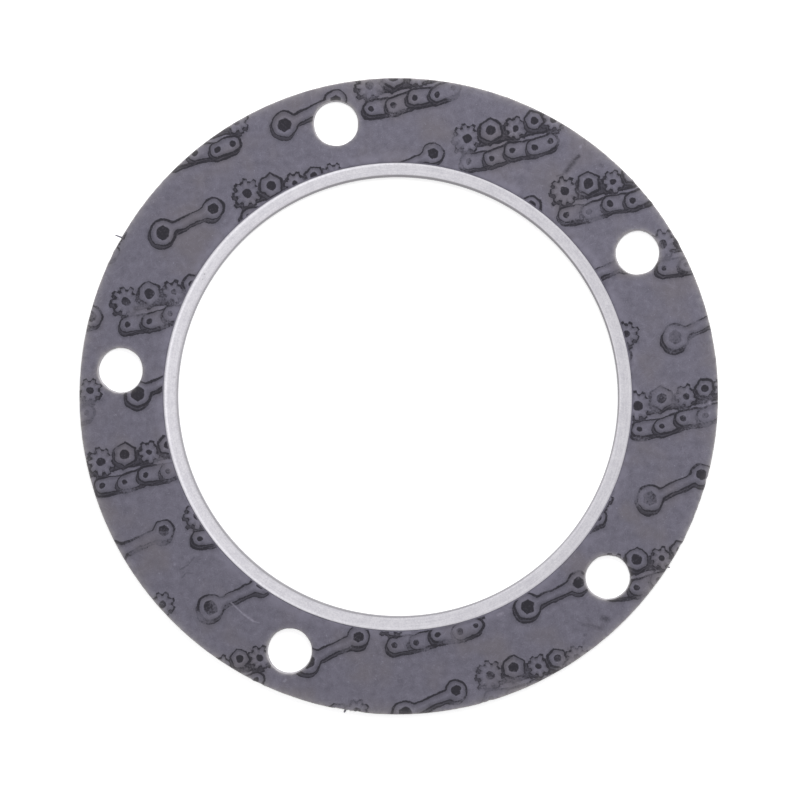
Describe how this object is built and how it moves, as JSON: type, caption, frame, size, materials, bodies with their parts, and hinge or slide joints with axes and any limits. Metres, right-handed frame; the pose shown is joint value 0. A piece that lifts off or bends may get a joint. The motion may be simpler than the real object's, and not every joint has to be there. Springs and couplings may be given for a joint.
{
  "type": "cylinder head gasket",
  "caption": "Round flat head gasket: a die-cut fibre sheet with stud holes, its bore edge bound by a crimped U-section steel fire ring.",
  "frame": {"origin": "on the bore axis, at the lower face of the fire ring, on which the gasket lies", "axes": "+Z along the bore axis, out of the upper face; +X to the right and +Y to the top of the gasket as pictured from above"},
  "size_m": [0.121, 0.121, 0.0016],
  "materials": {
    "sheet_fibre": "matte",
    "ring_steel": "satin"
  },
  "bodies": {
    "root": {"gasket_sheet": "sheet_fibre", "fire_ring": "ring_steel"}
  },
  "joints": []
}
